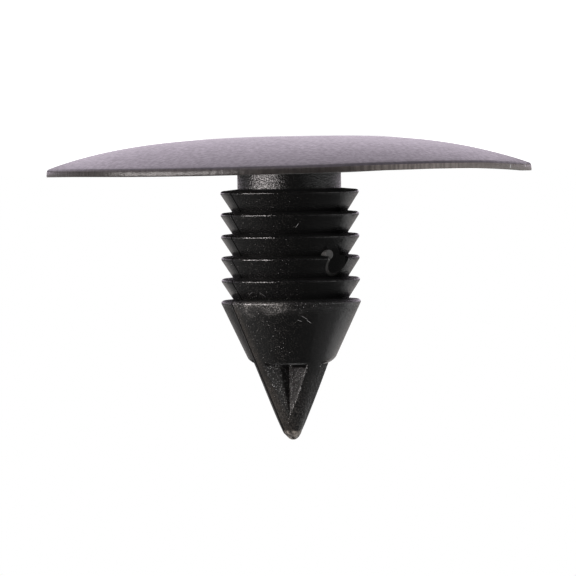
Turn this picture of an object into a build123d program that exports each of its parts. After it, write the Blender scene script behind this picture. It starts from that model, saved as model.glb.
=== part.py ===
from build123d import *
import math
import os

os.makedirs("parts", exist_ok=True)

# A push rivet moulded in one piece, in millimetres. It stands on the crown of its domed head,
# with its stem upwards: the origin is the middle of the crown, and +Z runs along the stem's
# axis from the head to the tip. Profiles are drawn as (radius, height) and turned about Z.

# Head: a shallow dome with a thin upright rim, hollow underneath inside a flat ring.
head_radius = 15.0
dome_rise = 1.95  # from the crown to the top of the rim's edge
crown_flat = 1.2  # radius of the flat spot that the rivet stands on
crown_curve = 58.0  # radius of the arc next to the flat spot
crown_reach = 7.5  # from the axis to where the dome starts to steepen
rim_edge = 0.40  # height of the rim's upright edge
seat_width = 1.8  # flat ring that meets the panel
head_wall = 1.2  # at the middle of the dome

# Neck and barbs: rings with a nearly level face towards the head and a long slope to the tip.
neck_length = 0.89  # from the seat ring's plane to the first barb's face
neck_step = 0.38  # the neck is this much slimmer than the roots of the barbs
neck_flare = 0.45  # the neck widens by this much where it leaves the head
barb_count = 5
barb_radius = 4.26
barb_pitch = 1.355
barb_depth = 0.69
barb_face_slope = 6.0  # degrees, of the face towards the head
barb_chamfer = 0.26  # radial reach of the chamfer between the face and the land
barb_chamfer_drop = 0.16  # height of that chamfer
barb_land = 0.08  # short straight stretch at the widest point

# Nose: a cone whose rim is one more barb, with V grooves below a ledge.
nose_length = 3.72  # from the end of the nose's land to the ledge
nose_taper = 25.2  # degrees from the axis
tip_round = 0.44
groove_count = 4
groove_angle = 102.0  # between the two walls of a groove, in degrees
groove_core = 1.0  # radius that the grooves leave uncut
groove_turn = 9.5  # from +X to the middle of the first groove, in degrees
lip_height = 0.41  # the ledge's outer edge slants back towards the head by this much
lip_slope = 33.0  # degrees, of that slant

# Gate pocket: a round blind hole in the side, with the sheared stub of the gate on its lip.
pocket_radius = 0.82
pocket_depth = 1.66  # from the barbs' widest radius
pocket_barb = 3  # the barb it is cut through, counted from the head from zero
pocket_offset = 0.40  # from that barb's root towards the tip
pocket_turn = 226.0
stub_radius = 0.27
stub_reach = 0.42  # beyond the roots of the barbs
stub_depth = 0.60  # below the roots of the barbs
stub_turn = 9.0  # from the middle of the pocket, in degrees
stub_offset = 0.45  # from the middle of the pocket towards the head

# Places worked out from the sizes above.
root_radius = barb_radius - barb_depth
neck_radius = root_radius - neck_step
seat_height = dome_rise + rim_edge
seat_inner_radius = head_radius - seat_width
neck_foot = head_wall + neck_radius * (seat_height - head_wall) / seat_inner_radius
face_slope = math.tan(math.radians(barb_face_slope))
first_root = seat_height + neck_length + neck_step * face_slope
first_corner = first_root + barb_depth * face_slope
nose_corner = first_corner + barb_count * barb_pitch
nose_land_end = nose_corner + barb_chamfer_drop + barb_land
ledge_height = nose_land_end + nose_length
lean = math.radians(nose_taper)
apex_height = nose_land_end + barb_radius / math.tan(lean)
tip_centre = apex_height - tip_round / math.sin(lean)
tip_height = tip_centre + tip_round
pocket_height = first_root + pocket_barb * barb_pitch + pocket_offset


def head():
    """Profile of the two-arc dome, the rim, the flat seat ring and the conical underside."""
    arc_angle = math.degrees(math.asin((crown_reach - crown_flat) / crown_curve))
    flat = Line((0, 0), (crown_flat, 0))
    crown = CenterArc((crown_flat, crown_curve), crown_curve, 270.0, arc_angle)
    shoulder = TangentArc(crown @ 1, (head_radius, dome_rise), tangent=crown % 1)
    rim = Line(shoulder @ 1, (head_radius, seat_height))
    seat = Line(rim @ 1, (seat_inner_radius, seat_height))
    underside = Polyline(seat @ 1, (0, head_wall), flat @ 0)
    return make_face(flat + crown + shoulder + rim + seat + underside)


def barb_corners(number):
    """Profile of one barb: its face, the chamfer and the short land."""
    inner_radius = neck_radius if number == 0 else root_radius
    face_end = barb_radius - barb_chamfer
    corner = first_corner + number * barb_pitch
    land_start = corner + barb_chamfer_drop
    return [
        (inner_radius, corner - (barb_radius - inner_radius) * face_slope),
        (face_end, corner - barb_chamfer * face_slope),
        (barb_radius, land_start),
        (barb_radius, land_start + barb_land),
    ]


def stem():
    """Profile of the neck, the barbs and the nose with its round tip. Its foot is in the head."""
    buried = head_wall / 2.0
    flare_end = neck_foot + neck_flare
    corners = [
        (0, buried),
        (neck_radius + flare_end - buried, buried),
        (neck_radius, flare_end),
    ]
    for number in range(barb_count + 1):
        corners.extend(barb_corners(number))
    tip = CenterArc((0, tip_centre), tip_round, nose_taper, 90.0 - nose_taper)
    side = Polyline(*corners, tip @ 0)
    axis = Line(tip @ 1, side @ 0)
    return make_face(side + tip + axis)


def below_the_ledge():
    """All that lies tipwards of the ledge and of the slanted lip at its outer edge."""
    lip_start = ledge_height - lip_height
    cone_radius = barb_radius - (lip_start - nose_land_end) * math.tan(lean)
    run_out = cone_radius * math.tan(math.radians(lip_slope))
    lip_inner_radius = cone_radius - lip_height / math.tan(math.radians(lip_slope))
    section = make_face(Polyline(
        (0, ledge_height),
        (lip_inner_radius, ledge_height),
        (2 * cone_radius, lip_start - run_out),
        (2 * cone_radius, tip_height),
        (0, tip_height),
        close=True,
    ))
    return revolve(Plane.XZ * section, axis=Axis.Z)


def grooves():
    """V prisms along the nose, which end at the ledge."""
    half_width = (barb_radius - groove_core) * math.tan(math.radians(groove_angle / 2.0))
    corners = [(groove_core, 0), (barb_radius, half_width), (barb_radius, -half_width)]
    section = make_face(Polyline(*corners, close=True))
    prism = Pos(0, 0, nose_land_end) * extrude(section, tip_height - nose_land_end)
    groove = prism & below_the_ledge()
    spacing = 360.0 / groove_count
    return [Rot(0, 0, groove_turn + n * spacing) * groove for n in range(groove_count)]


def side_post(radius, start, end, turn, height):
    """A round bar that points straight out from the axis, between two radii."""
    bar = Cylinder(radius, end - start, align=(Align.CENTER, Align.CENTER, Align.MIN))
    return Pos(0, 0, height) * Rot(0, 0, turn) * Pos(start, 0, 0) * Rot(0, 90, 0) * bar


def gate_pocket():
    """The blind hole, cut out past the barbs."""
    floor = barb_radius - pocket_depth
    mouth = barb_radius + pocket_radius
    return side_post(pocket_radius, floor, mouth, pocket_turn, pocket_height)


def gate_stub():
    """What is left of the gate on the pocket's lip."""
    start = root_radius - stub_depth
    end = root_radius + stub_reach
    turn = pocket_turn + stub_turn
    return side_post(stub_radius, start, end, turn, pocket_height - stub_offset)


def rivet():
    """The whole moulding: one turned profile with the nose's grooves and the gate's marks."""
    body = revolve(Plane.XZ * (head() + stem()), axis=Axis.Z)
    return body - grooves() - gate_pocket() + gate_stub()


export_step(rivet(), "parts/push_rivet.step")
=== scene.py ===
from math import cos, pi, radians, sin, tan

import bpy
from mathutils import Matrix, Vector


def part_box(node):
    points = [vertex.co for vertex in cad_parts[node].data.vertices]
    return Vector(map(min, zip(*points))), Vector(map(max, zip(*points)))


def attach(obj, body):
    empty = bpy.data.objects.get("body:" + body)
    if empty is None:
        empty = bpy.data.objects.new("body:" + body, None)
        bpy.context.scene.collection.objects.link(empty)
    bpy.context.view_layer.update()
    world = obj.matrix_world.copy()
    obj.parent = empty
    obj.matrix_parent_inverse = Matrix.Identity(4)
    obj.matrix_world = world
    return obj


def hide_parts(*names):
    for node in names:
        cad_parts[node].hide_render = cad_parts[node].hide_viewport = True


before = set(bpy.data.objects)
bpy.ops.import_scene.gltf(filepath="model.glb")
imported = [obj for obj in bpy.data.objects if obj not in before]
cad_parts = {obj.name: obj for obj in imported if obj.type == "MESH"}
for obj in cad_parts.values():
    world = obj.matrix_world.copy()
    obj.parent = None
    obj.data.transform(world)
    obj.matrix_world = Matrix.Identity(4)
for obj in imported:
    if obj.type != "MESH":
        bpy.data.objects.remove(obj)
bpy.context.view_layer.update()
lowest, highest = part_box("push_rivet")
mm = 0.001  # the rivet is shaped in millimetres and brought to metres at the end
headRadius = (highest.x - lowest.x) / 2 / mm
tipHeight = highest.z / mm
scene = bpy.context.scene
print("frame loaded, head radius", round(headRadius, 2), "tip height", round(tipHeight, 3))

# The rivet is measured in millimetres and degrees. Angles are turns about +Z from +X.
# Left and right are the camera's, which looks along +Y and hangs head down, so its right is -X.
head = {
    "square": 0.0042, "fourth": 1.85e-5,  # the dome grows by these powers of the radius
    "edge": 0.45,  # height of the upright edge
    "domeSoftness": 0.16, "seatSoftness": 0.05, "seatInnerSoftness": 0.1,
    "seatWidth": 0.6, "recessWidth": 1.2, "recess": 0.25, "wall": 1.2,
    "warpGrip": 0.8,  # how much of it is held while it is pulled out of shape
    "steps": 28,  # stretches from the crown to the edge
}
stem = {
    "neckRadius": 3.215, "neckLength": 0.908, "flare": 0.45,
    "barbs": 5, "barbRadius": 4.30, "rootRadius": 3.59, "pitch": 1.355,
    "faceSlope": 6.0,
    "lipReach": 0.30, "lipDrop": 0.11, "lipLand": 0.08,  # the soft edge of each barb
    "lipStretches": 5, "landSoftness": 0.02, "rootSoftness": 0.04,
    "noseRadius": 4.335, "noseTaper": 25.2,
    "columns": 120,  # stretches round the axis
}
tip = {
    "shoulder": 0.60,  # radius where the cone starts to round
    "profile": ((0.545, -0.43), (0.465, -0.33), (0.395, -0.24), (0.32, -0.155),
                (0.23, -0.08), (0.14, -0.03), (0.07, -0.015), (0.0, -0.03)),
    # how far the end leans along X, over which length, and how much of it is held meanwhile
    "leans": ((0.04, 4.5), (-0.06, 0.5)),
    "held": 0.2,
}


def domeHeight(radius):
    return head["square"] * radius ** 2 + head["fourth"] * radius ** 4


rimTop = domeHeight(headRadius)
seatHeight = rimTop + head["edge"]
seatInner = headRadius - head["seatWidth"]
faceTangent = tan(radians(stem["faceSlope"]))
firstRoot = seatHeight + stem["neckLength"] + (stem["rootRadius"] - stem["neckRadius"]) * faceTangent
firstCorner = firstRoot + (stem["barbRadius"] - stem["rootRadius"]) * faceTangent
noseCorner = firstCorner + stem["barbs"] * stem["pitch"]
noseTangent = tan(radians(stem["noseTaper"]))
noseLandEnd = noseCorner + stem["lipDrop"] + stem["lipLand"]


def domeLine():
    radii = [headRadius * i / head["steps"] for i in range(head["steps"] + 1)]
    return [(r, domeHeight(r)) for r in radii]


def barbLine(corner, radius, inner):
    # the face, its soft edge and the short land of one barb
    reach, drop = stem["lipReach"], stem["lipDrop"]
    start = corner - reach * faceTangent
    points = [(inner, corner - (radius - inner) * faceTangent)]
    for i in range(stem["lipStretches"] + 1):
        t = radians(90 * i / stem["lipStretches"])
        points.append((radius - reach + reach * sin(t), start + (corner + drop - start) * (1 - cos(t))))
    points.append((radius, corner + drop + stem["lipLand"]))
    return points


def rivetLine():
    points = domeLine()
    points.append((headRadius, seatHeight))
    points.append((seatInner, seatHeight))
    recessRadius, recessHeight = seatInner - head["recessWidth"], seatHeight - head["recess"]
    points.append((recessRadius, recessHeight))
    underside = (recessHeight - head["wall"]) / recessRadius
    foot = head["wall"] + stem["neckRadius"] * underside
    flareRadius = stem["neckRadius"] + stem["flare"]
    points.append((flareRadius, head["wall"] + flareRadius * underside))
    points.append((stem["neckRadius"], foot + stem["flare"]))
    for n in range(stem["barbs"]):
        inner = stem["neckRadius"] if n == 0 else stem["rootRadius"]
        points += barbLine(firstCorner + n * stem["pitch"], stem["barbRadius"], inner)
    points += barbLine(noseCorner, stem["noseRadius"], stem["rootRadius"])
    shoulderHeight = noseLandEnd + (stem["noseRadius"] - tip["shoulder"]) / noseTangent
    points.append((tip["shoulder"], shoulderHeight))
    points += [(r, tipHeight + drop) for r, drop in tip["profile"]]
    return points


def selectOnly(piece):
    bpy.ops.object.select_all(action="DESELECT")
    piece.select_set(True)
    bpy.context.view_layer.objects.active = piece


def pick(piece, test):
    # selects the points whose places pass the test, and leaves edit mode on
    if bpy.context.mode != "EDIT_MESH":
        bpy.ops.object.mode_set(mode="EDIT")
    bpy.ops.mesh.select_mode(type="VERT")
    bpy.ops.mesh.select_all(action="DESELECT")
    bpy.ops.object.mode_set(mode="OBJECT")
    for v in piece.data.vertices:
        v.select = test(v.co)
    bpy.ops.object.mode_set(mode="EDIT")


def drawLine(name, points):
    # one point, extruded from place to place
    bpy.ops.object.select_all(action="DESELECT")
    bpy.ops.mesh.primitive_plane_add(size=1)
    piece = bpy.context.object
    piece.name = name
    bpy.ops.object.mode_set(mode="EDIT")
    bpy.ops.mesh.select_mode(type="VERT")
    bpy.ops.mesh.merge(type="CENTER")
    bpy.ops.transform.translate(value=(points[0][0], 0, points[0][1]))
    for (r0, z0), (r1, z1) in zip(points, points[1:]):
        bpy.ops.mesh.extrude_vertices_move(TRANSFORM_OT_translate={"value": (r1 - r0, 0, z1 - z0)})
    return piece


def softenCorners(piece, corners):
    # rounds the line's corners where (radius, height, softness, stretches) says
    for r, z, softness, stretches in corners:
        pick(piece, lambda co: abs(co.x - r) < 1e-4 and abs(co.z - z) < 1e-4)
        bpy.ops.mesh.bevel(offset=softness, segments=stretches, affect="VERTICES")


def turnLine(piece, columns):
    pick(piece, lambda co: True)
    bpy.ops.mesh.spin(steps=columns, angle=2 * pi, center=(0, 0, 0), axis=(0, 0, 1))
    bpy.ops.mesh.select_all(action="SELECT")
    bpy.ops.mesh.remove_doubles(threshold=1e-4)
    bpy.ops.mesh.normals_make_consistent(inside=False)
    bpy.ops.object.mode_set(mode="OBJECT")


def makeBody():
    piece = drawLine("rivetBody", rivetLine())
    corners = [
        (headRadius, rimTop, head["domeSoftness"], 6),
        (headRadius, seatHeight, head["seatSoftness"], 3),
        (seatInner, seatHeight, head["seatInnerSoftness"], 3),
    ]
    for n in range(stem["barbs"] + 1):
        radius = stem["noseRadius"] if n == stem["barbs"] else stem["barbRadius"]
        height = firstCorner + n * stem["pitch"] + stem["lipDrop"] + stem["lipLand"]
        corners.append((radius, height, stem["landSoftness"], 2))
        if n:
            corners.append((stem["rootRadius"], firstRoot + n * stem["pitch"], stem["rootSoftness"], 2))
    softenCorners(piece, corners)
    turnLine(piece, stem["columns"])
    return piece


def cutWith(piece, cutter, operation="DIFFERENCE"):
    selectOnly(piece)
    modifier = piece.modifiers.new("cut", "BOOLEAN")
    modifier.object = cutter
    modifier.operation = operation
    modifier.solver = "EXACT"
    bpy.ops.object.modifier_apply(modifier="cut")
    bpy.data.objects.remove(cutter)


grooves = {
    "angle": 102.0, "ledgeHeight": 14.087, "ledgeSoftness": 0.06,
    "spare": 1.0,  # how far the cutters stand past what they cut
    # the ledge's rounded lip: how far before the ledge, and how far under the cone
    "lip": ((0.0, 0.40), (0.06, 0.26), (0.13, 0.16), (0.22, 0.09), (0.32, 0.03), (0.42, 0.0)),
    # which way each faces, what it leaves of the core at the ledge, how its floor leans in
    # and how much of the lip it has; the front one comes first
    "places": (
        {"turn": -80.5, "core": 1.06, "lean": 1.0, "lip": 0.4},
        {"turn": 9.5, "core": 0.86, "lean": 4.0, "lip": 1.0},
        {"turn": 99.5, "core": 1.06, "lean": 1.0, "lip": 0.4},
        {"turn": 189.5, "core": 0.86, "lean": 4.0, "lip": 1.0},
    ),
}
ledgeHeight = grooves["ledgeHeight"]
frontTurn = grooves["places"][0]["turn"]


def makePastLedge(end, lip):
    # what lies past the ledge, as a turned body
    spare = grooves["spare"]
    line = [(0, ledgeHeight)]
    for before, under in grooves["lip"]:
        height = ledgeHeight - before * lip
        line.append((stem["noseRadius"] - (height - noseLandEnd) * noseTangent - under * lip, height))
    lipRadius, lipStart = line[-1]
    outside = lipRadius + 3 * spare
    line += [(outside, lipStart - 4 * spare), (outside, end), (0, end)]
    piece = drawLine("pastLedge", line)
    softenCorners(piece, [line[1] + (grooves["ledgeSoftness"] * lip, 3)])
    turnLine(piece, stem["columns"])
    return piece


def makeGrooveBar(core, lean, lip):
    # a three-sided bar, its edge towards the axis, ended by the ledge's slanted lip
    half, spare = radians(grooves["angle"] / 2), grooves["spare"]
    reach = stem["noseRadius"] - core + 0.6 * spare
    foot, end = ledgeHeight - 2 * spare, tipHeight + spare
    bpy.ops.object.select_all(action="DESELECT")
    bpy.ops.mesh.primitive_cylinder_add(vertices=3, radius=1, depth=end - foot,
                                        location=(0, 0, (foot + end) / 2))
    bar = bpy.context.object
    bpy.ops.object.transform_apply(location=True)
    # its three long edges are taken to their places one by one, the inner one first
    edges = sorted({(round(v.co.x, 4), round(v.co.y, 4)) for v in bar.data.vertices})
    edges.sort(key=lambda c: abs(c[0]))
    places = [(core, 0), (core + reach, reach * tan(half)), (core + reach, -reach * tan(half))]
    places = [places[0]] + sorted(places[1:], key=lambda c: c[0] * edges[1][1] - c[1] * edges[1][0])
    moves = [(Vector(edge), Vector(spot)) for edge, spot in zip(edges, places)]
    chosen = [[v.index for v in bar.data.vertices if (v.co.xy - edge).length < 1e-3] for edge, spot in moves]
    for (edge, spot), indices in zip(moves, chosen):
        pick(bar, lambda co: False)
        bpy.ops.object.mode_set(mode="OBJECT")
        for i in indices:
            bar.data.vertices[i].select = True
        bpy.ops.object.mode_set(mode="EDIT")
        bpy.ops.transform.translate(value=(spot.x - edge.x, spot.y - edge.y, 0))
    bpy.ops.mesh.select_all(action="SELECT")
    bpy.ops.transform.rotate(value=radians(lean), orient_axis="Y", center_override=(core, 0, ledgeHeight))
    bpy.ops.mesh.normals_make_consistent(inside=False)
    bpy.ops.object.mode_set(mode="OBJECT")
    cutWith(bar, makePastLedge(end, lip), "INTERSECT")
    return bar


def cutGrooves(piece):
    for place in grooves["places"]:
        bar = makeGrooveBar(place["core"], place["lean"], place["lip"])
        selectOnly(bar)
        bar.rotation_euler.z = radians(place["turn"])
        bpy.ops.object.transform_apply(rotation=True)
        cutWith(piece, bar)


pocket = {  # the gate's pocket in the side of the barbs, from the root of the barb that is counted
    "radius": 0.80, "depth": 1.66, "turn": 224.8, "barb": 3, "offset": 0.34, "stretches": 48,
}
stub = {  # what is left of the gate, from the middle of the pocket
    "radius": 0.29, "reach": 0.48, "depth": 0.5, "turn": 234.0, "offset": -0.39, "stretches": 12,
}
pocketHeight = firstRoot + pocket["barb"] * stem["pitch"] + pocket["offset"]
stubHeight = pocketHeight + stub["offset"]


def sideBar(name, place, start, end, height):
    # a round bar that lies across the axis, from start to end away from it
    bpy.ops.object.select_all(action="DESELECT")
    middle, turn = (start + end) / 2, radians(place["turn"])
    bpy.ops.mesh.primitive_cylinder_add(vertices=place["stretches"], radius=place["radius"],
                                        depth=end - start, rotation=(0, pi / 2, turn),
                                        location=(middle * cos(turn), middle * sin(turn), height))
    bar = bpy.context.object
    bar.name = name
    bpy.ops.object.transform_apply(location=True, rotation=True)
    return bar


def cutPocket(piece):
    outer, root = stem["barbRadius"], stem["rootRadius"]
    cutWith(piece, sideBar("pocketBar", pocket, outer - pocket["depth"], outer + 1, pocketHeight))
    knob = sideBar("stubBar", stub, root - stub["depth"], root + stub["reach"], stubHeight)
    cutWith(piece, knob, "UNION")


partingLine = {
    "turn": -33.2, "width": 0.035, "depth": 0.05, "step": 0.025,
    "stop": 0.2,  # how far from the axis it ends at the tip
}


def cutPartingLine(piece):
    # a fine groove down the stem, and a step between its two sides
    turn = radians(partingLine["turn"])
    normal = Vector((-sin(turn), cos(turn), 0))

    def onStem(co):
        return co.z > seatHeight and co.xy.length < stem["noseRadius"] + 0.1

    def pullIn(depth, test):
        pick(piece, lambda co: onStem(co) and co.z > firstRoot and test(co))
        shrink = 1 - depth / stem["barbRadius"]
        bpy.ops.transform.resize(value=(shrink, shrink, 1), center_override=(0, 0, 0))

    selectOnly(piece)
    for offset in (-partingLine["width"], 0, partingLine["width"]):
        pick(piece, onStem)
        bpy.ops.mesh.bisect(plane_co=normal * offset, plane_no=normal, threshold=1e-5)
    pullIn(partingLine["depth"], lambda co: abs(normal.dot(co)) < 1e-3 and co.xy.length > partingLine["stop"])
    pullIn(partingLine["step"], lambda co: normal.dot(co) > partingLine["width"] / 2)
    bpy.ops.object.mode_set(mode="OBJECT")


warp = (  # where the head is pulled, how far towards the stem, and how far round it gives
    {"turn": -134.0, "radius": 15.0, "pull": -0.20, "reach": 10.0},
    {"turn": 134.0, "radius": 15.0, "pull": -0.24, "reach": 10.0},
    {"turn": -112.0, "radius": 15.0, "pull": -0.05, "reach": 7.0},
    {"turn": -150.0, "radius": 15.0, "pull": 0.02, "reach": 6.0},
    {"turn": 150.0, "radius": 15.0, "pull": -0.12, "reach": 6.0},
    {"turn": 180.0, "radius": 7.0, "pull": -0.08, "reach": 6.5},
    {"turn": -62.0, "radius": 15.0, "pull": 0.06, "reach": 9.0},
    {"turn": -123.0, "radius": 15.0, "pull": 0.04, "reach": 4.5},
)


def warpRim(piece):
    selectOnly(piece)
    for place in warp:
        turn = radians(place["turn"])
        spot = Vector((place["radius"] * cos(turn), place["radius"] * sin(turn)))
        pick(piece, lambda co: co.z < seatHeight + 0.01 and (co.xy - spot).length < head["warpGrip"])
        bpy.ops.transform.translate(value=(0, 0, place["pull"]), use_proportional_edit=True,
                                    proportional_edit_falloff="SMOOTH", proportional_size=place["reach"])
    bpy.ops.object.mode_set(mode="OBJECT")


def leanTip(piece):
    selectOnly(piece)
    pick(piece, lambda co: co.z > tipHeight - tip["held"])
    for lean, length in tip["leans"]:
        bpy.ops.transform.translate(value=(lean, 0, 0), use_proportional_edit=True,
                                    proportional_edit_falloff="SMOOTH", proportional_size=length)
    bpy.ops.object.mode_set(mode="OBJECT")


def toMetres(piece):
    selectOnly(piece)
    pick(piece, lambda co: True)
    bpy.ops.transform.resize(value=(mm, mm, mm), center_override=(0, 0, 0))
    bpy.ops.object.mode_set(mode="OBJECT")
    bpy.ops.object.shade_smooth_by_angle(angle=radians(30))


class Wire:
    # a shader socket that takes part in sums
    def __init__(self, sheet, socket):
        self.sheet, self.socket = sheet, socket

    def combine(self, operation, *others):
        values = dict(enumerate((self,) + others))
        return self.sheet.node("ShaderNodeMath", {"operation": operation}, values)[0]

    def __add__(self, other):
        return self.combine("ADD", other)

    def __mul__(self, other):
        return self.combine("MULTIPLY", other)

    def __sub__(self, other):
        return self.combine("SUBTRACT", other)

    def __rsub__(self, other):
        return self.sheet.node("ShaderNodeMath", {"operation": "SUBTRACT"}, {0: other, 1: self})[0]

    def __truediv__(self, other):
        return self.combine("DIVIDE", other)

    def __pow__(self, other):
        return self.combine("POWER", other)

    def __neg__(self):
        return 0 - self

    def __abs__(self):
        return self.combine("ABSOLUTE")

    __radd__ = __add__
    __rmul__ = __mul__

    def clamp(self):
        return self.sheet.node("ShaderNodeClamp", {}, {0: self})[0]

    def above(self, low, high):
        # rises smoothly from 0 at low to 1 at high
        return self.sheet.node("ShaderNodeMapRange", {"interpolation_type": "SMOOTHSTEP"},
                               {"Value": self, "From Min": low, "From Max": high})[0]

    def below(self, low, high):
        return 1 - self.above(low, high)


class Sheet:
    # a tree of shader nodes
    def __init__(self, owner):
        owner.use_nodes = True
        self.tree = owner.node_tree
        self.tree.nodes.clear()

    def node(self, kind, settings, values):
        made = self.tree.nodes.new(kind)
        for key, value in settings.items():
            setattr(made, key, value)
        for key, value in values.items():
            if isinstance(value, Wire):
                self.tree.links.new(value.socket, made.inputs[key])
            else:
                made.inputs[key].default_value = value
        return Outputs(self, made)

    def blend(self, share, one, other):
        return self.node("ShaderNodeMix", {"data_type": "RGBA"}, {"Factor": share, 6: one, 7: other})[2]

    def mixShaders(self, share, one, other):
        return self.node("ShaderNodeMixShader", {}, {"Fac": share, 1: one, 2: other})[0]

    def glow(self, colour, strength):
        return self.node("ShaderNodeEmission", {}, {"Color": colour, "Strength": strength})[0]


class Outputs:
    def __init__(self, sheet, node):
        self.sheet, self.made = sheet, node

    def __getitem__(self, key):
        return Wire(self.sheet, self.made.outputs[key])


class Surface:
    # places on the rivet in millimetres, and the patterns its materials share
    def __init__(self, name):
        self.material = bpy.data.materials.new(name)
        self.sheet = Sheet(self.material)
        self.blend = self.sheet.blend
        self.place = self.sheet.node("ShaderNodeTexCoord", {}, {})
        self.inMm = self.sheet.node("ShaderNodeVectorMath", {"operation": "SCALE"},
                                    {0: self.place["Object"], "Scale": 1 / mm})[0]
        parts = self.sheet.node("ShaderNodeSeparateXYZ", {}, {0: self.inMm})
        self.x, self.y, self.z = parts["X"], parts["Y"], parts["Z"]
        self.radius = (self.x * self.x + self.y * self.y) ** 0.5

    def noise(self, scale, detail=2.0):
        return self.sheet.node("ShaderNodeTexNoise", {}, {
            "Vector": self.inMm, "Scale": scale, "Detail": detail})["Fac"]

    def streaks(self, scale):
        # noise that only changes round the axis
        return self.sheet.node("ShaderNodeTexNoise", {"noise_dimensions": "1D"}, {
            "W": self.y.combine("ARCTAN2", self.x), "Scale": scale, "Detail": 2.0})["Fac"]

    def outwardAlong(self, side):
        # how squarely the surface lies on that side of the axis
        return (self.x * side[0] + self.y * side[1]) / self.radius

    def outward(self, turn):
        return self.x * cos(radians(turn)) + self.y * sin(radians(turn))

    def sideways(self, turn):
        return self.y * cos(radians(turn)) - self.x * sin(radians(turn))

    def facingUp(self):
        return self.sheet.node("ShaderNodeSeparateXYZ", {}, {0: self.place["Normal"]})["Z"]

    def dots(self, scale, size, density):
        # small round spots, one to a cell, where the density lets them be
        cells = self.sheet.node("ShaderNodeTexVoronoi", {}, {"Vector": self.inMm, "Scale": scale})
        chance = self.sheet.node("ShaderNodeSeparateColor", {}, {0: cells["Color"]})[0]
        return cells["Distance"].below(size * 0.4, size) * (chance + density).above(0.95, 1.3)

    def scratch(self, place):
        # a short straight mark on the side that faces the turn
        t, h = self.sideways(place["turn"]), self.z - place["height"]
        slope = radians(place["slope"])
        off, past = abs(h * cos(slope) - t * sin(slope)), abs(h * sin(slope) + t * cos(slope))
        length, width = place["length"] / 2, place["width"] / 2
        mark = off.below(width * 0.5, width) * past.below(length * 0.6, length)
        return mark * self.outward(place["turn"]).above(0, 0.5)

    def nylon(self, look, colour, roughness, height):
        bump = self.sheet.node("ShaderNodeBump", {}, {
            "Strength": 1.0, "Distance": look["grainDepth"] * mm, "Height": height})["Normal"]
        # a faint white glow is painted over the nylon, lifting it out of its shade
        return self.sheet.node("ShaderNodeBsdfPrincipled", {}, {
            "Base Color": colour, "Roughness": roughness, "Normal": bump, "IOR": 1.5,
            "Emission Color": (1, 1, 1, 1), "Emission Strength": look["haze"]})["BSDF"]

    def finish(self, shader, shadeAndMottle):
        # painted shade and random mottle: the given share of the surface is mixed to a near-black diffuse,
        # whatever light falls on it
        dark = self.sheet.node("ShaderNodeBsdfDiffuse", {}, {"Color": grey(0.003)})[0]
        withPaintedShade = self.sheet.mixShaders(shadeAndMottle.clamp(), shader, dark)
        self.sheet.node("ShaderNodeOutputMaterial", {}, {"Surface": withPaintedShade})
        return self.material


def grey(level, warmth=0.0):
    return (level * (1 + warmth), level, level * (1 - warmth), 1)


rimSpecks = (  # two flecks of dust on the edge
    {"turn": -152.9, "height": 2.06, "slope": 90.0, "length": 0.26, "width": 0.17, "level": 1.0},
    {"turn": -163.8, "height": 2.01, "slope": 90.0, "length": 0.22, "width": 0.17, "level": 1.0},
)
scratches = (  # where each lies, how steeply it runs, its length, its width and how pale it is
    {"turn": -96.5, "height": 5.48, "slope": 55.0, "length": 0.34, "width": 0.027, "level": 0.7},
    {"turn": -102.0, "height": 11.12, "slope": 151.0, "length": 0.55, "width": 0.028, "level": 0.25},
    {"turn": -106.5, "height": 11.38, "slope": 148.0, "length": 0.40, "width": 0.032, "level": 0.35},
    {"turn": -97.5, "height": 11.30, "slope": 160.0, "length": 0.35, "width": 0.03, "level": 0.25},
    {"turn": -50.5, "height": 9.62, "slope": 24.0, "length": 0.5, "width": 0.04, "level": 0.12},
    {"turn": -63.0, "height": 9.68, "slope": 140.0, "length": 0.5, "width": 0.04, "level": 0.14},
)


def headNylon(name, look):
    surface = Surface(name)
    x, noise = surface.x, surface.noise
    blotch = noise(look["blotchScale"])
    colour = surface.blend(blotch.above(0.3, 0.7), look["colour"], look["paleColour"])
    roughness = look["roughness"] + (blotch - 0.5) * 0.1
    shadeAndMottle = noise(look["mottleScale"]).above(0.3, 0.7) * look["mottle"]
    if "rubbed" in look:
        # the edge is pale on one side, partly real rubbing and partly painted light, in streaks that run with
        # the stem
        streaks = surface.streaks(look["streakScale"])
        side = (surface.outward(look["rubbedSide"]) / surface.radius).above(0.61, 0.95)
        plain = (-x).above(9, 12)  # no streaks here
        share = (side + 0.05) * (0.96 - streaks.above(0.3, 0.7) * 0.3 * (1 - plain))
        colour = surface.blend(share.clamp(), colour, look["rubbed"])
        for place in rimSpecks:
            colour = surface.blend(surface.scratch(place), colour, grey(place["level"]))
        shadeAndMottle = shadeAndMottle + (streaks.above(0.4, 0.65) * 0.12 + 0.05) * (1 - plain) + plain * 0.2
    if "dimSide" in look:
        # painted shade: one side is dimmer, and so are both ends
        shadeAndMottle = shadeAndMottle + (-x).above(8, 14) * look["dimSide"] + (x * x).above(150, 215) * look["dimEnds"]
    return surface.finish(surface.nylon(look, colour, roughness, noise(look["grainScale"], 1.0)), shadeAndMottle)


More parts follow.
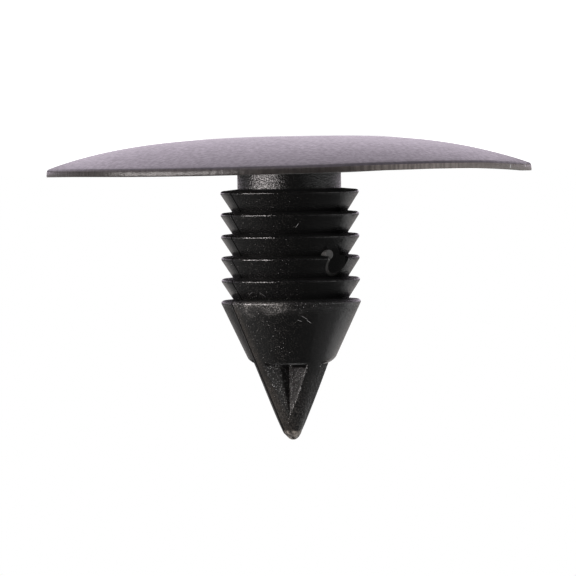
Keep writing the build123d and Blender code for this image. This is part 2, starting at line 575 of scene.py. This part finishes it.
class StemSurface(Surface):
    # the stretches of the stem that look different, each as a share from 0 to 1
    def __init__(self, name, look):
        super().__init__(name)
        self.look = look
        z, radius, noise = self.z, self.radius, self.noise
        self.blotch, self.grain = noise(look["blotchScale"]), noise(look["dustScale"], 1.0)
        self.barbed = z.above(firstRoot, firstRoot + 0.05)
        self.onNose = z.above(noseCorner - 0.2, noseCorner)
        self.lip = radius.above(stem["barbRadius"] - 0.10, stem["barbRadius"] - 0.03)
        # beyond the parting line the mould was polished
        self.across, self.along = self.sideways(partingLine["turn"]), self.outward(partingLine["turn"])
        self.polished = self.across.above(-0.02, 0.02) * self.barbed
        # depth below the nose's cone, which tells the grooves from the lands
        self.belowCone = (noseLandEnd + stem["noseRadius"] / noseTangent - z) * noseTangent - radius
        self.sunk = self.belowCone.above(0.08, 0.16) * z.above(ledgeHeight, ledgeHeight + 0.06)
        self.valleySide, self.towardsFront = self.sideways(frontTurn), self.outward(frontTurn).above(0.5, 1.0)
        # scuffs under the nose's lip, partly a painted highlight on the side the key lamp shines on, wear
        # towards its end, and the end itself rubbed pale
        scuffEnd = (z + self.blotch * 1.4).below(noseLandEnd + 0.7, noseLandEnd + 1.5)
        self.scuffed = z.above(noseCorner - 0.1, noseCorner + 0.1) * scuffEnd
        self.tired = (z + self.blotch).above(tipHeight - 4.2, tipHeight - 1.2)
        self.worn = (z + noise(2.5) * 0.25).above(tipHeight - 0.52, tipHeight - 0.42)
        # from the middle of the pocket, in radii of the pocket
        rimSide, rimHeight = self.sideways(pocket["turn"]), z - pocketHeight
        rim = (rimSide * rimSide + rimHeight * rimHeight) ** 0.5
        fromPocket, onPocketSide = rim / pocket["radius"], self.outward(pocket["turn"]).above(1, 1.2)
        self.inPocket = fromPocket.below(1.002, 1.02) * onPocketSide * radius.below(4.0, 4.1)
        # a pale crescent on one side of the pocket's rim: partly a real burr, partly a painted highlight
        self.burr = fromPocket.above(0.98, 1.02) * fromPocket.below(1.14, 1.24) * onPocketSide
        self.burr = self.burr * ((rimSide * 0.7 + rimHeight * 0.7) / rim).above(0.15, 0.65)

    def grained(self):
        # the height of the grain and the roughness
        look = self.look
        lookingBack = (-self.facingUp()).above(0.5, 0.8)  # the flat side of each barb
        rough = 1 - (self.polished * look["polish"] + self.lip * 0.5).clamp()
        fine = self.noise(look["grainScale"], 0.5) * rough * 0.8
        fine = fine * (1 + self.scuffed * 0.5 + self.sunk * 0.6 + self.tired * 0.4 + self.worn)
        coarse = self.noise(look["grainScale"] * 0.4, 1.0) * look["coarse"] * (0.3 + self.barbed * 0.7)
        roughness = look["roughness"] + (self.blotch - 0.5) * 0.1 + self.scuffed * 0.1 + self.sunk * 0.05
        roughness = roughness + self.worn * 0.2 + lookingBack * (1 - self.lip) * 0.3 - self.lip * 0.13
        return fine + coarse, roughness

    def dusted(self):
        # the colour of the nylon under its dust, scuffs and wear, with painted sheen, glints and highlights
        # on the side that the key lamp shines on, and painted light in the grooves
        look, blend, noise, grain = self.look, self.blend, self.noise, self.grain
        spots, towardsShine = look["spotScale"], self.outwardAlong(look["dustSide"]).above(0.6, 1.0)
        # pale dust, laid thickest on the side that catches the key lamp's shine: partly real dust, partly a
        # painted sheen
        colour = blend(grain.above(0.52, 0.72) * (towardsShine * 0.7 + 0.3).clamp(), look["colour"], look["dust"])
        # the scuffs grow paler towards the key lamp's shine: partly real scuffs, partly a painted highlight
        rubbed = (self.outward(look["rubbedSide"]) / self.radius).above(0.90, 0.985)
        scuffAndShinePatch = rubbed * (0.6 + noise(1.5, 1.0).above(0.35, 0.6))
        scuffAndShinePatch = (scuffAndShinePatch + towardsShine * noise(2.5, 1.0).above(0.45, 0.65) * 0.7 + 0.08).clamp()
        scuffAndShineShare = self.scuffed * scuffAndShinePatch * (0.1 + noise(look["scuffScale"], 1.0).above(0.47, 0.66)).clamp()
        colour = blend(scuffAndShineShare, colour, look["scuff"])
        colour = blend(self.scuffed * self.dots(spots, 0.25, 0.38), colour, look["scuffSpot"])
        # dust in the grooves, with the camera's left side of them painted lighter as painted light
        litLeftWall = self.valleySide.above(0.1, 0.3)
        inGroove = self.sunk * (grain.above(0.5, 0.64) * 0.5 + litLeftWall * 0.1).clamp()
        colour = blend(inGroove, colour, look["grooveDust"])
        # painted glints: pale spots on the walls of the front groove
        grooveGlints = self.sunk * self.towardsFront * self.dots(look["grooveSpotScale"], 0.42, 0.58)
        colour = blend(grooveGlints, colour, look["grooveSpot"])
        tired = self.tired * (1 - self.worn) * noise(look["wearScale"]).above(0.35, 0.8)
        colour = blend(tired, colour, look["tired"])
        colour = blend(self.worn * noise(4.0).above(0.3, 0.7), colour, look["worn"])
        # pale specks only on the side that catches the key lamp's shine: partly dust, partly painted glints
        colour = blend(self.dots(spots, 0.19, towardsShine * 0.38) * self.barbed, colour, look["speck"])
        beside = self.across.above(-0.9, -0.1) * self.across.below(-0.02, 0.02) * self.along.above(0, 0.5)
        beside = beside * self.z.above(noseCorner, noseLandEnd + 0.5)
        return blend(beside * grain.above(0.3, 0.7), colour, look["besideSeam"])

    def marked(self, colour):
        # painted highlights on the edges where a groove meets the cone, the scratches, the pocket painted
        # lighter inside as painted light, and a pale crescent on its rim that is partly burr and partly
        # painted highlight
        look, half, fromLedge = self.look, radians(grooves["angle"] / 2), self.z - ledgeHeight
        paintedSparkle = abs(self.belowCone).below(0.04, 0.12) * self.dots(look["spotScale"], 0.4, 0.55)
        paintedSparkle = paintedSparkle * fromLedge.above(0, 0.1) * fromLedge.below(1.2, 2.2)
        for place in grooves["places"]:
            u, t = self.outward(place["turn"]) - place["core"], self.sideways(place["turn"])
            onEdge = abs(abs(t) * cos(half) - u * sin(half)).below(0.03, 0.10) * u.above(0, 0.1)
            colour = self.blend(paintedSparkle * onEdge, colour, look["edgeSpark"])
        for place in scratches:
            colour = self.blend(self.scratch(place), colour, grey(place["level"]))
        # painted light: the inside of the pocket is lighter than the nylon, for the light that hardly reaches
        # in
        colour = self.blend(self.inPocket, colour, look["pocket"])
        return self.blend(self.burr, colour, look["burr"])

    def linesPaintedShade(self):
        # painted shade along the parting line, at the bottom of the front groove and in a chip at the end
        look, x, y, z, across = self.look, self.x, self.y, self.z, self.across
        seam = (across * across).below(0.002, 0.01) * self.along.above(0.1, 0.2)
        seam = seam * self.barbed * (1 - self.worn)
        spread = self.valleySide / (tipHeight - 1.6 - z)
        valley = self.sunk * self.valleySide.above(-0.03, 0.0) * spread.below(0.13, 0.21)
        valley = valley * self.outward(frontTurn).above(0.5, 0.8)
        chipSide, chipRise = x + 0.04, z - look["chipHeight"]
        chip = (chipSide * chipSide + chipRise * chipRise * 4).below(0.004, 0.014)
        chip = chip * (-y).above(0.02, 0.08) * self.worn
        return seam * look["seamDull"] + valley * look["valleyDull"] + chip * look["chipDull"]

    def wallsPaintedShade(self):
        # painted shade on the grooves' lips and walls, and a painted shadow in the corner under the front
        # ledge
        fromLedge, towardsFront = self.z - ledgeHeight, self.towardsFront
        lips = self.belowCone.above(0.01, 0.05) * (0.15 + towardsFront * 0.25)
        lips = lips + self.belowCone.above(0.08, 0.15) * towardsFront * 0.5
        lips = lips * fromLedge.above(-0.6, -0.45) * fromLedge.below(0, 0.06)
        rightWall = self.valleySide.below(-0.3, -0.1) * towardsFront
        ledgeShadow = rightWall * fromLedge.below(0.14, 0.22) * 0.4
        return lips + self.sunk * (0.12 + rightWall * 0.48 + ledgeShadow)

    def sidesShadeAndFlecks(self):
        # painted shade at the roots of the barbs and on the sides away from the lamps, their lips' shine
        # broken by random dark patches, the polished side past the parting line dimmed, and random dark
        # flecks
        look, noise, barbed = self.look, self.noise, self.barbed
        x, y, radius = self.x, self.y, self.radius
        unseamed = self.across.below(0.0, 0.05)
        roots = radius.below(stem["rootRadius"] - 0.02, stem["rootRadius"] + 0.3) * barbed * (1 - self.onNose)
        uneven = self.lip * noise(look["wearScale"]).above(0.42, 0.6) * (1 - self.onNose)
        pastSeam = 0.08 + self.onNose * 0.32 + noise(look["fleckScale"]).above(0.35, 0.65) * 0.2
        pastSeam = pastSeam * (1 - unseamed) * self.along.above(0, 0.5)
        shaded = (-x).above(1.5, 3.2) * 0.26 - (-x).above(2.9, 3.7) * 0.55 + 0.36
        shaded = shaded * unseamed * (1 - self.onNose) * barbed * (1 - self.lip)
        flecked = (1 - barbed) * 0.38 + (-x).above(2.5, 3.3) * barbed * 0.35
        flecked = flecked * noise(look["fleckScale"], 1.0).above(0.45, 0.62)
        # painted shade over the quarter that the key lamp only grazes
        grazed = (y / radius).above(0.1, 0.5) * (x / radius).above(0.15, 0.5)
        shadeAndMottle = roots * look["rootDull"] + uneven * look["lipDull"] + grazed * look["grazedDull"]
        return shadeAndMottle + pastSeam + shaded + flecked


def stemNylon(name, look):
    surface = StemSurface(name, look)
    height, roughness = surface.grained()
    colour = surface.marked(surface.dusted())
    shadeAndMottle = surface.linesPaintedShade() + surface.wallsPaintedShade() + surface.sidesShadeAndFlecks()
    return surface.finish(surface.nylon(look, colour, roughness, height), shadeAndMottle * (1 - surface.inPocket))


looks = {
    "stem": {
        "colour": grey(0.002), "roughness": 0.24, "haze": 0.0035, "blotchScale": 0.9,
        "grainScale": 12.5, "grainDepth": 0.028, "coarse": 0.3, "polish": 0.88,
        "dustScale": 13.0, "scuffScale": 14.0, "wearScale": 9.0, "fleckScale": 11.0,
        "spotScale": 8.0, "grooveSpotScale": 12.0,
        "dustSide": (0.53, -0.85), "dust": grey(0.026, 0.08), "speck": grey(0.45, 0.02),
        "rubbedSide": -68.0, "scuff": grey(0.2, 0.04), "scuffSpot": grey(0.4),
        "grooveDust": grey(0.10, 0.05), "grooveSpot": grey(0.6), "edgeSpark": grey(0.45),
        "tired": grey(0.05, 0.08), "worn": grey(0.25, 0.13), "chipHeight": 18.70,
        "besideSeam": grey(0.022, 0.25), "pocket": grey(0.012), "burr": grey(0.09, 0.03),
        # how much painted shade each of these gets
        "seamDull": 0.8, "valleyDull": 0.72, "chipDull": 0.9, "rootDull": 0.3, "lipDull": 0.5,
        "grazedDull": 0.75,
    },
    "dome": {
        "colour": (0.014, 0.013, 0.016, 1), "paleColour": (0.024, 0.022, 0.026, 1), "blotchScale": 2.0,
        "roughness": 0.3, "haze": 0.0, "grainScale": 7.0, "grainDepth": 0.010,
        "mottleScale": 4.0, "mottle": 0.22, "dimSide": 0.12, "dimEnds": 0.22,
    },
    "band": {
        "colour": (0.01, 0.008, 0.007, 1), "paleColour": (0.016, 0.013, 0.011, 1), "blotchScale": 3.0,
        "roughness": 0.32, "haze": 0.004, "grainScale": 7.0, "grainDepth": 0.014,
        "mottleScale": 5.0, "mottle": 0.15,
        "rubbed": (0.32, 0.28, 0.26, 1), "rubbedSide": -150.0, "streakScale": 60.0,
    },
    "stub": {
        "colour": grey(0.06, 0.02), "paleColour": grey(0.1, 0.02), "blotchScale": 5.0,
        "roughness": 0.4, "haze": 0.004, "grainScale": 7.0, "grainDepth": 0.014,
        "mottleScale": 5.0, "mottle": 0.1,
    },
    "seat": {
        "colour": (0.01, 0.008, 0.007, 1), "paleColour": (0.016, 0.013, 0.011, 1), "blotchScale": 3.0,
        "roughness": 0.7, "haze": 0.004, "grainScale": 7.0, "grainDepth": 0.03,
        "mottleScale": 5.0, "mottle": 0.15,
    },
}
# where the head's looks end
lookEnds = {"domeTop": 1.95, "domeTilt": -0.3, "margin": 0.3, "bandTilt": 0.8, "seatTilt": 0.5, "clear": 1}


def lookOf(face):
    # which look a face of the body has, by where it lies
    centre, tilt = face.center / mm, face.normal.z
    away = centre.xy.length
    if centre.z < lookEnds["domeTop"] and tilt < lookEnds["domeTilt"]:
        return "dome"
    onHead = away > headRadius - lookEnds["margin"] and centre.z < seatHeight + lookEnds["margin"]
    if onHead and tilt < lookEnds["bandTilt"]:
        return "band"
    onUnderside = centre.z < seatHeight and away > stem["neckRadius"] + lookEnds["clear"]
    if onHead or onUnderside and tilt > lookEnds["seatTilt"]:
        return "seat"
    turn = radians(stub["turn"])
    stubLine = Vector((cos(turn), sin(turn), 0))
    alongStub = centre.dot(stubLine)
    offStub = (centre - stubLine * alongStub - Vector((0, 0, stubHeight))).length
    onStub = offStub < stub["radius"] + 0.01 and alongStub > stem["rootRadius"] - stub["depth"]
    return "stub" if onStub else "stem"


studio = {
    # the camera, in millimetres, and how near and how far it sees, in metres
    "distance": 250.0, "eyeHeight": 2.35, "aim": (0.17, 9.40), "roll": 0.84, "span": 35.71, "sensor": 36,
    "near": 0.005, "far": 10,
    # the lamps, in metres and watts: turn from the camera's side (negative to its left) and so on
    "key": {
        "turn": -56.5, "distance": 0.25, "height": 0.008, "size": (0.26, 0.05), "power": 0.95,
        "colour": (1.0, 0.93, 0.92),
    },
    "side": {"turn": 78.0, "distance": 0.25, "height": 0.008, "size": (0.08, 0.03), "power": 0.012},
    "fill": {"turn": 127.0, "distance": 0.22, "height": 0.13, "size": (0.10, 0.10), "power": 0.021},
    "top": {"turn": 165.0, "distance": 0.15, "height": 0.30, "size": (0.20, 0.20), "power": 0.35},
    "lampAim": (0, 0, 0.008),
    "skyLevel": 0.45,
}


def lookingAt(target, spot, up):
    forward = (target - spot).normalized()
    right = forward.cross(up).normalized()
    return Matrix((right, right.cross(forward), -forward)).transposed().to_quaternion()


def makeCamera():
    data = bpy.data.cameras.new("camera")
    camera = bpy.data.objects.new("camera", data)
    scene.collection.objects.link(camera)
    spot = Vector((0, -studio["distance"], studio["eyeHeight"])) * mm
    target = Vector((studio["aim"][0], 0, studio["aim"][1])) * mm
    tilt = radians(studio["roll"])
    up = Vector((-sin(tilt), 0, -cos(tilt)))  # the camera hangs head down
    camera.location = spot
    camera.rotation_mode = "QUATERNION"
    camera.rotation_quaternion = lookingAt(target, spot, up)
    data.sensor_width = studio["sensor"]
    data.lens = studio["sensor"] * (target - spot).length / (studio["span"] * mm)
    data.clip_start, data.clip_end = studio["near"], studio["far"]
    scene.camera = camera


def makeLamp(name):
    place = studio[name]
    data = bpy.data.lights.new(name + "Lamp", "AREA")
    data.shape = "RECTANGLE"
    data.size, data.size_y = place["size"]
    data.energy = place["power"]
    data.color = place.get("colour", (1, 1, 1))
    lamp = bpy.data.objects.new(name + "Lamp", data)
    scene.collection.objects.link(lamp)
    turn = radians(-90 - place["turn"])
    spot = Vector((place["distance"] * cos(turn), place["distance"] * sin(turn), place["height"]))
    lamp.location = spot
    lamp.rotation_mode = "QUATERNION"
    lamp.rotation_quaternion = lookingAt(Vector(studio["lampAim"]), spot, Vector((0, 0, 1)))


# what the plastic mirrors of each side of the room
mirror = {
    "front": grey(0.04), "right": grey(0.9), "left": grey(0.5), "ceiling": grey(0.02),
    "backdrop": (1.0, 0.95, 0.93, 1), "floor": (1.56, 1.38, 1.60, 1),
}


def mirroredRoom(sheet, direction):
    # a dim room in front, paler walls at the sides that fade upwards, and a bright backdrop behind
    parts = sheet.node("ShaderNodeSeparateXYZ", {}, {0: direction})
    x, y, z = parts["X"], parts["Y"], parts["Z"]
    walls = 1 - z.above(0.1, 0.5) * 0.6
    left, right = x.above(0.35, 0.75) * walls, (-x).above(0.35, 0.85) * walls
    up = z.above(0.3, 0.9)
    gap = abs(z).below(0.08, 0.3)  # a dark stretch along the floor's far edge
    behind = y.above(0.6, 0.95) * (1 - up) * (1 - right * 0.85 - left * 0.4) * (1 - gap * 0.6)
    colour = sheet.blend(right, mirror["front"], mirror["right"])
    colour = sheet.blend(up, colour, mirror["ceiling"])
    colour = sheet.blend(left, colour, mirror["left"])
    return sheet.blend(behind, colour, mirror["backdrop"])


def makeRoom():
    world = bpy.data.worlds.new("softRoom")
    scene.world = world
    sheet = Sheet(world)
    rays = sheet.node("ShaderNodeLightPath", {}, {})
    glossy, seen = rays["Is Glossy Ray"], (rays["Is Camera Ray"] + rays["Is Transmission Ray"]).clamp()
    mirrored = mirroredRoom(sheet, sheet.node("ShaderNodeTexCoord", {}, {})["Generated"])
    colour, level = sheet.blend(glossy, grey(1), mirrored), (1 - glossy) * studio["skyLevel"] + glossy
    light = sheet.node("ShaderNodeBackground", {}, {"Color": colour, "Strength": level})[0]
    white = sheet.node("ShaderNodeBackground", {}, {"Color": grey(1), "Strength": 1.0})[0]
    sheet.node("ShaderNodeOutputWorld", {}, {"Surface": sheet.mixShaders(seen, light, white)})
    world.cycles.sampling_method = "NONE"


floorLook = {
    "size": 6, "paper": grey(0.85), "seen": 0.95,
    # its mirror image is bright within this distance of the axis and from this far behind it, in metres
    "within": (0.019, 0.024), "behind": (0.01, 0.05),
}


def makeFloor():
    # white to the camera, paper to diffuse light, and bright in places to what mirrors it
    bpy.ops.object.select_all(action="DESELECT")
    bpy.ops.mesh.primitive_plane_add(size=floorLook["size"])
    floor = bpy.context.object
    floor.name = "floor"
    material = bpy.data.materials.new("paleFloor")
    sheet = Sheet(material)
    rays = sheet.node("ShaderNodeLightPath", {}, {})
    paper = sheet.node("ShaderNodeBsdfDiffuse", {}, {"Color": floorLook["paper"]})[0]
    shaded = sheet.node("ShaderNodeAddShader", {}, {0: paper, 1: sheet.glow(grey(1), floorLook["seen"])})[0]
    place = sheet.node("ShaderNodeSeparateXYZ", {}, {0: sheet.node("ShaderNodeTexCoord", {}, {})["Object"]})
    x, y = place["X"], place["Y"]
    near, far = floorLook["within"]
    bright = (y.above(*floorLook["behind"]) + (x * x + y * y).below(near ** 2, far ** 2)).clamp()
    mirrored = sheet.glow(sheet.blend(bright, mirror["front"], mirror["floor"]), 1.0)
    mixed = sheet.mixShaders(rays["Is Glossy Ray"], paper, mirrored)
    mixed = sheet.mixShaders(rays["Is Camera Ray"], mixed, shaded)
    sheet.node("ShaderNodeOutputMaterial", {}, {"Surface": mixed})
    material.cycles.emission_sampling = "NONE"
    floor.data.materials.append(material)


body = makeBody()
print("body turned", len(body.data.vertices))
cutPartingLine(body)
cutGrooves(body)
cutPocket(body)
print("grooves and pocket cut", len(body.data.vertices))
warpRim(body)
leanTip(body)
toMetres(body)
body.data.materials.clear()
lookNames = list(looks)
for lookName in lookNames:
    makeNylon = stemNylon if lookName == "stem" else headNylon
    body.data.materials.append(makeNylon(lookName + "Nylon", looks[lookName]))
for face in body.data.polygons:
    face.material_index = lookNames.index(lookOf(face))
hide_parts("push_rivet")
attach(body, "root")
print("rivet finished")
makeFloor()
makeRoom()
for lampName in ("key", "side", "fill", "top"):
    makeLamp(lampName)
makeCamera()
print("studio lit")
scene.view_settings.view_transform = "Standard"
print("triangles", sum(len(face.vertices) - 2 for face in body.data.polygons))
